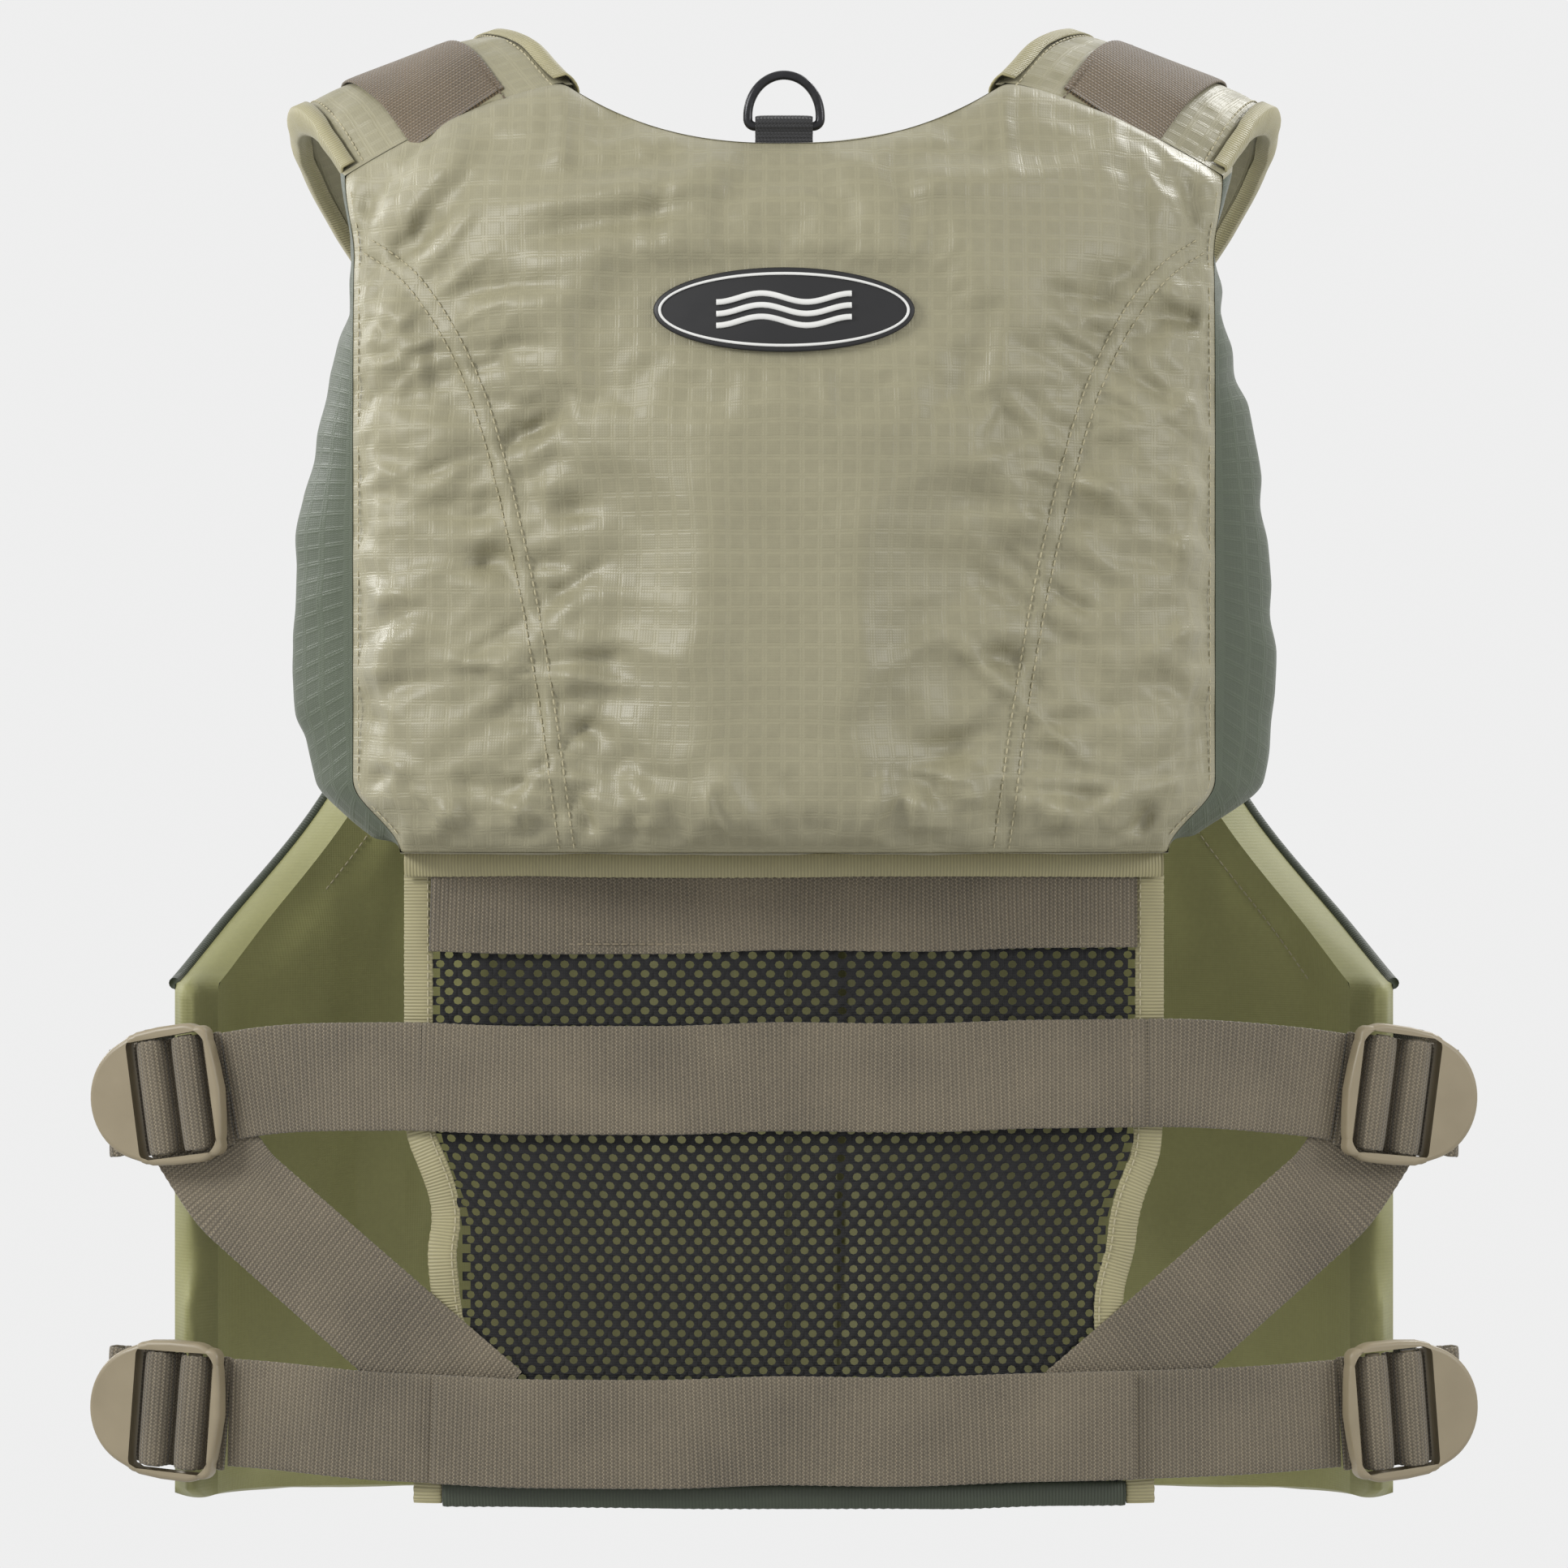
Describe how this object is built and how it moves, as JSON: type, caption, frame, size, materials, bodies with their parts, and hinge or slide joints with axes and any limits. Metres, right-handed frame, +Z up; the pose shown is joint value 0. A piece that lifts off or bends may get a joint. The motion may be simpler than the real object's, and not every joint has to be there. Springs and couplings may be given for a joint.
{
  "type": "fishing vest",
  "caption": "High-back buoyancy fishing vest with a padded back float, mesh lower back, zipped front panels with pockets, padded shoulder straps and webbing adjusters.",
  "frame": {"origin": "between the shoulder straps, at the height where their undersides rest on the wearer's shoulders at the neck side", "axes": "+Z up, +X towards the wearer's left, the wearer faces -Y"},
  "size_m": [0.4888, 0.2944, 0.528],
  "materials": {
    "khaki_ripstop": "satin ripstop nylon, lightly creased",
    "sage_ripstop": "matte ripstop nylon",
    "olive_lining": "smooth woven lining",
    "foam": "closed-cell foam",
    "black_mesh": "open knitted mesh",
    "binding_tape": "ribbed grosgrain tape",
    "taupe_webbing": "woven webbing",
    "brown_webbing": "woven webbing",
    "black_webbing": "woven webbing",
    "buckle_plastic": "moulded, slightly glossy",
    "black_metal": "black coating",
    "badge_rubber": "moulded soft badge",
    "zip_teeth": "moulded teeth on woven tape",
    "zip_metal": "dark coating"
  },
  "bodies": {
    "back": {"back_cover": "khaki_ripstop", "back_foam": "foam", "back_lining": "sage_ripstop", "badge_patch": "badge_rubber", "collar_tab": "black_webbing", "mesh_panel": "black_mesh", "upper_back_band": "taupe_webbing", "mesh_top_binding": "binding_tape", "mid_strap_centre": "taupe_webbing", "lower_strap_centre": "taupe_webbing", "mesh_side_binding_left": "binding_tape", "mid_strap_end_left": "taupe_webbing", "lower_strap_end_left": "taupe_webbing", "diagonal_strap_left": "taupe_webbing", "shoulder_pad_left": "khaki_ripstop", "shoulder_webbing_left": "brown_webbing", "mesh_side_binding_right": "binding_tape", "mid_strap_end_right": "taupe_webbing", "lower_strap_end_right": "taupe_webbing", "diagonal_strap_right": "taupe_webbing", "shoulder_pad_right": "khaki_ripstop", "shoulder_webbing_right": "brown_webbing"},
    "collar_ring": {"collar_ring": "black_metal"},
    "mid_buckle_left": {"mid_buckle_left": "buckle_plastic", "mid_buckle_webbing_left": "taupe_webbing"},
    "lower_buckle_left": {"lower_buckle_left": "buckle_plastic", "lower_buckle_webbing_left": "taupe_webbing"},
    "front_left": {"front_cover_left": "sage_ripstop", "front_lining_left": "olive_lining", "front_foam_left": "foam", "pocket_left": "khaki_ripstop", "pocket_zip_left": "zip_teeth", "zip_half_left": "zip_teeth", "side_webbing_mid_left": "taupe_webbing", "side_webbing_lower_left": "taupe_webbing", "shoulder_anchor_left": "brown_webbing"},
    "shoulder_buckle_left": {"shoulder_buckle_left": "buckle_plastic", "shoulder_buckle_webbing_left": "brown_webbing"},
    "pocket_slider_left": {"pocket_slider_left": "zip_metal"},
    "pocket_pull_left": {"pocket_pull_left": "zip_metal"},
    "mid_buckle_right": {"mid_buckle_right": "buckle_plastic", "mid_buckle_webbing_right": "taupe_webbing"},
    "lower_buckle_right": {"lower_buckle_right": "buckle_plastic", "lower_buckle_webbing_right": "taupe_webbing"},
    "front_right": {"front_cover_right": "sage_ripstop", "front_lining_right": "olive_lining", "front_foam_right": "foam", "pocket_right": "khaki_ripstop", "pocket_zip_right": "zip_teeth", "zip_half_right": "zip_teeth", "side_webbing_mid_right": "taupe_webbing", "side_webbing_lower_right": "taupe_webbing", "shoulder_anchor_right": "brown_webbing"},
    "shoulder_buckle_right": {"shoulder_buckle_right": "buckle_plastic", "shoulder_buckle_webbing_right": "brown_webbing"},
    "pocket_slider_right": {"pocket_slider_right": "zip_metal"},
    "pocket_pull_right": {"pocket_pull_right": "zip_metal"},
    "zip_slider": {"zip_slider": "zip_metal"},
    "zip_pull": {"zip_pull": "zip_metal"}
  },
  "joints": [
    {"name": "collar_ring_swing", "type": "hinge", "parent": "back", "child": "collar_ring", "pos_m": [0, 0.08918, -0.0091], "axis": [1, 0, 0], "range_deg": [-85, 85]},
    {"name": "mid_buckle_left_tilt", "type": "hinge", "parent": "back", "child": "mid_buckle_left", "pos_m": [0.19523, 0.05511, -0.343], "axis": [0.1303, -0.0399, 0.9907], "range_deg": [0, 45]},
    {"name": "mid_buckle_right_tilt", "type": "hinge", "parent": "back", "child": "mid_buckle_right", "pos_m": [-0.19523, 0.05511, -0.343], "axis": [0.1303, 0.0399, -0.9907], "range_deg": [0, 45]},
    {"name": "lower_buckle_left_tilt", "type": "hinge", "parent": "back", "child": "lower_buckle_left", "pos_m": [0.19523, 0.05511, -0.4574], "axis": [-0.0744, 0.0228, 0.997], "range_deg": [0, 45]},
    {"name": "lower_buckle_right_tilt", "type": "hinge", "parent": "back", "child": "lower_buckle_right", "pos_m": [-0.19523, 0.05511, -0.4574], "axis": [-0.0744, -0.0228, -0.997], "range_deg": [0, 45]},
    {"name": "front_left_open", "type": "hinge", "parent": "back", "child": "front_left", "pos_m": [0.229, 0.03, -0.411], "axis": [-0.2049, -0.1397, 0.9688], "range_deg": [0, 60], "deforming": ["shoulder_pad_left", "shoulder_webbing_left"]},
    {"name": "front_right_open", "type": "hinge", "parent": "back", "child": "front_right", "pos_m": [-0.229, 0.03, -0.411], "axis": [-0.2049, 0.1397, -0.9688], "range_deg": [0, 60], "deforming": ["shoulder_pad_right", "shoulder_webbing_right"]},
    {"name": "shoulder_buckle_left_tilt", "type": "hinge", "parent": "front_left", "child": "shoulder_buckle_left", "pos_m": [0.10711, -0.09585, -0.06751], "axis": [-0.973, -0.1244, 0.1946], "range_deg": [0, 40]},
    {"name": "shoulder_buckle_right_tilt", "type": "hinge", "parent": "front_right", "child": "shoulder_buckle_right", "pos_m": [-0.10711, -0.09585, -0.06751], "axis": [-0.973, 0.1244, -0.1946], "range_deg": [0, 40]},
    {"name": "main_zip_slide", "type": "slide", "parent": "front_right", "child": "zip_slider", "axis": [0, 0, -1], "range_m": [0, 0.325]},
    {"name": "zip_pull_swing", "type": "hinge", "parent": "zip_slider", "child": "zip_pull", "pos_m": [0, -0.1499, -0.16], "axis": [-1, 0, 0], "range_deg": [0, 160]},
    {"name": "pocket_zip_left_slide", "type": "slide", "parent": "front_left", "child": "pocket_slider_left", "axis": [0, 0, -1], "range_m": [0, 0.127]},
    {"name": "pocket_zip_right_slide", "type": "slide", "parent": "front_right", "child": "pocket_slider_right", "axis": [0, 0, -1], "range_m": [0, 0.127]},
    {"name": "pocket_pull_left_swing", "type": "hinge", "parent": "pocket_slider_left", "child": "pocket_pull_left", "pos_m": [0.06321, -0.16454, -0.3154], "axis": [-0.987, -0.161, 0], "range_deg": [0, 160]},
    {"name": "pocket_pull_right_swing", "type": "hinge", "parent": "pocket_slider_right", "child": "pocket_pull_right", "pos_m": [-0.06321, -0.16454, -0.3154], "axis": [-0.987, 0.161, 0], "range_deg": [0, 160]}
  ]
}
